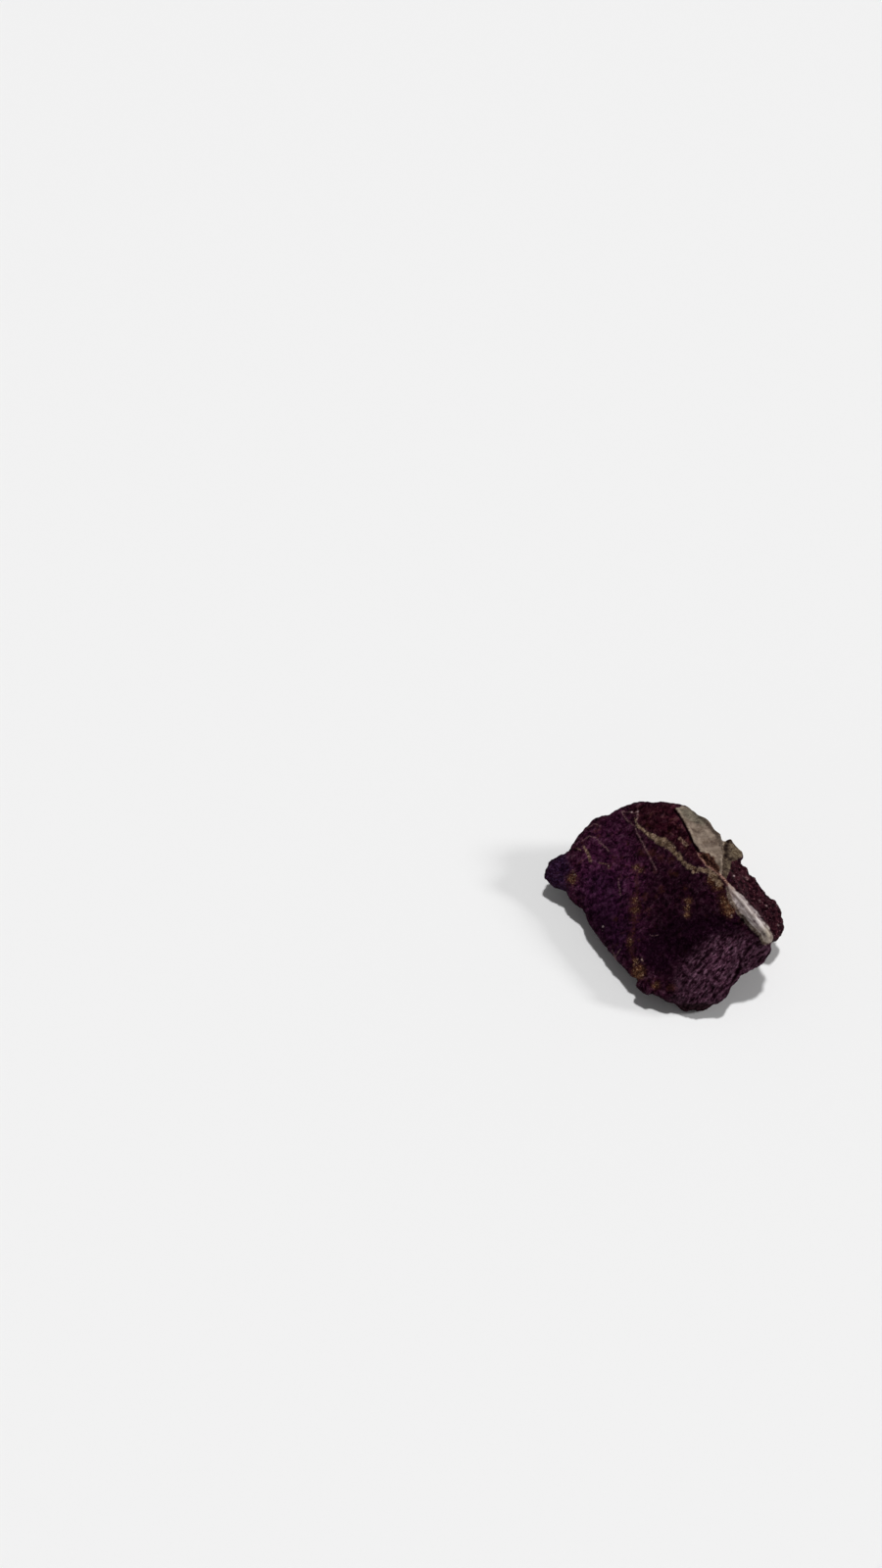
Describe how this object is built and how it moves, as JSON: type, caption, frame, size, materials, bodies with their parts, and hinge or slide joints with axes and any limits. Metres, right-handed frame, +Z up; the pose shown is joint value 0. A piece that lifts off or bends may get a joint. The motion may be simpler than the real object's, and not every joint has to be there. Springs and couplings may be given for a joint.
{
  "type": "purpurite specimen",
  "caption": "Rough hand specimen of the purple phosphate mineral purpurite, with a smooth tilted cleavage face, a proud pale vein, a crumbly lower face and a dark red ledge.",
  "frame": {"origin": "on the table, under the middle of the stone's bounding box", "axes": "+Z up as the stone lies on its flattest side; +Y away from the crumbly lower face; +X towards the pale vein and the red ledge"},
  "size_m": [0.0442, 0.0402, 0.0161],
  "materials": {
    "purpurite_rock": "rough broken mineral, satin on the cleavage face"
  },
  "bodies": {
    "root": {"purpurite_stone": "purpurite_rock"}
  },
  "joints": []
}
